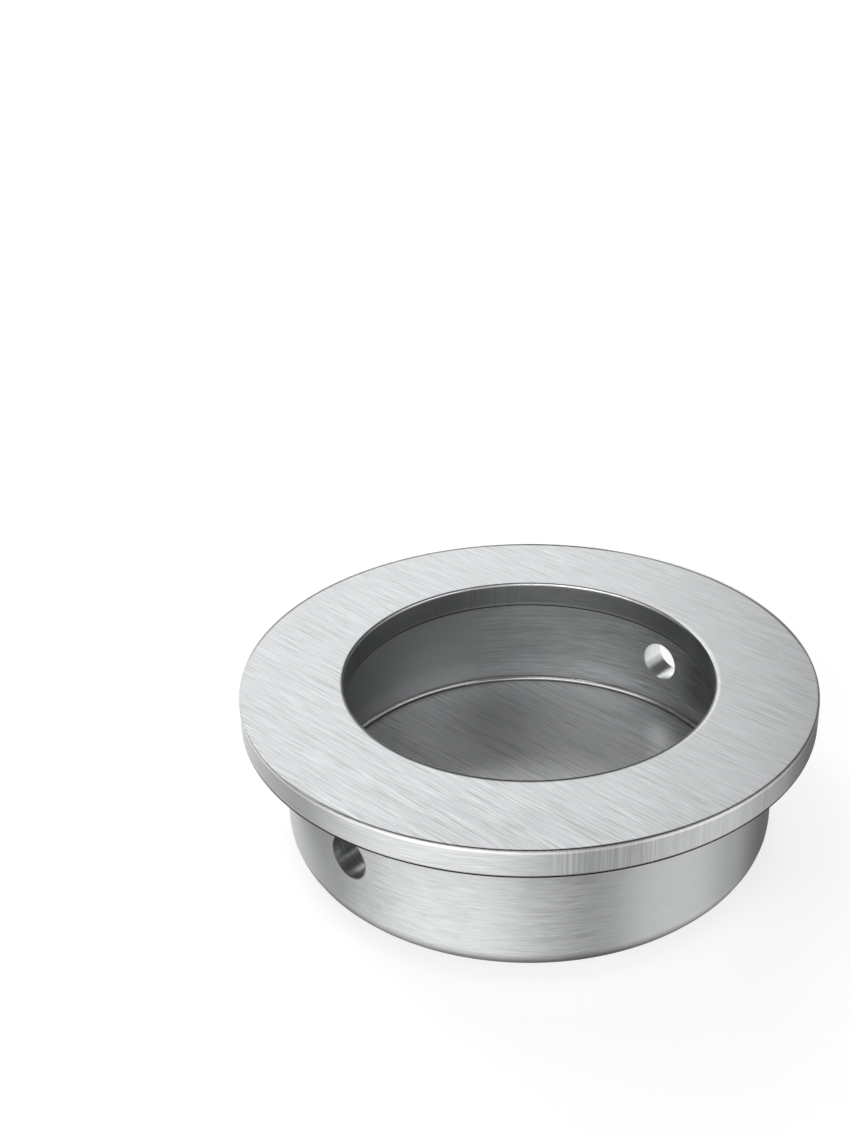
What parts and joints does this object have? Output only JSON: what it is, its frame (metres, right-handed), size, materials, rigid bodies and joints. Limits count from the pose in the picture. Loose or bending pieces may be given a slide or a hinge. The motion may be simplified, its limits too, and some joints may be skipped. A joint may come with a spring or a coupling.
{
  "type": "recessed pull handle",
  "caption": "Round recessed pull handle: a brushed ring-shaped face plate on a deep cup, with plain screw holes through the cup's side.",
  "frame": {"origin": "on the handle's axis, in the plane of the face plate's back, where it seats on the door", "axes": "+Z out of the door, Y along the line of the screw holes"},
  "size_m": [0.06, 0.06, 0.0182],
  "materials": {
    "face_plate": "satin, with a straight grain across the screw holes' line",
    "cup": "satin, with a grain along the wall and straight across the floor"
  },
  "bodies": {
    "root": {"face_plate": "face_plate", "cup": "cup"}
  },
  "joints": []
}
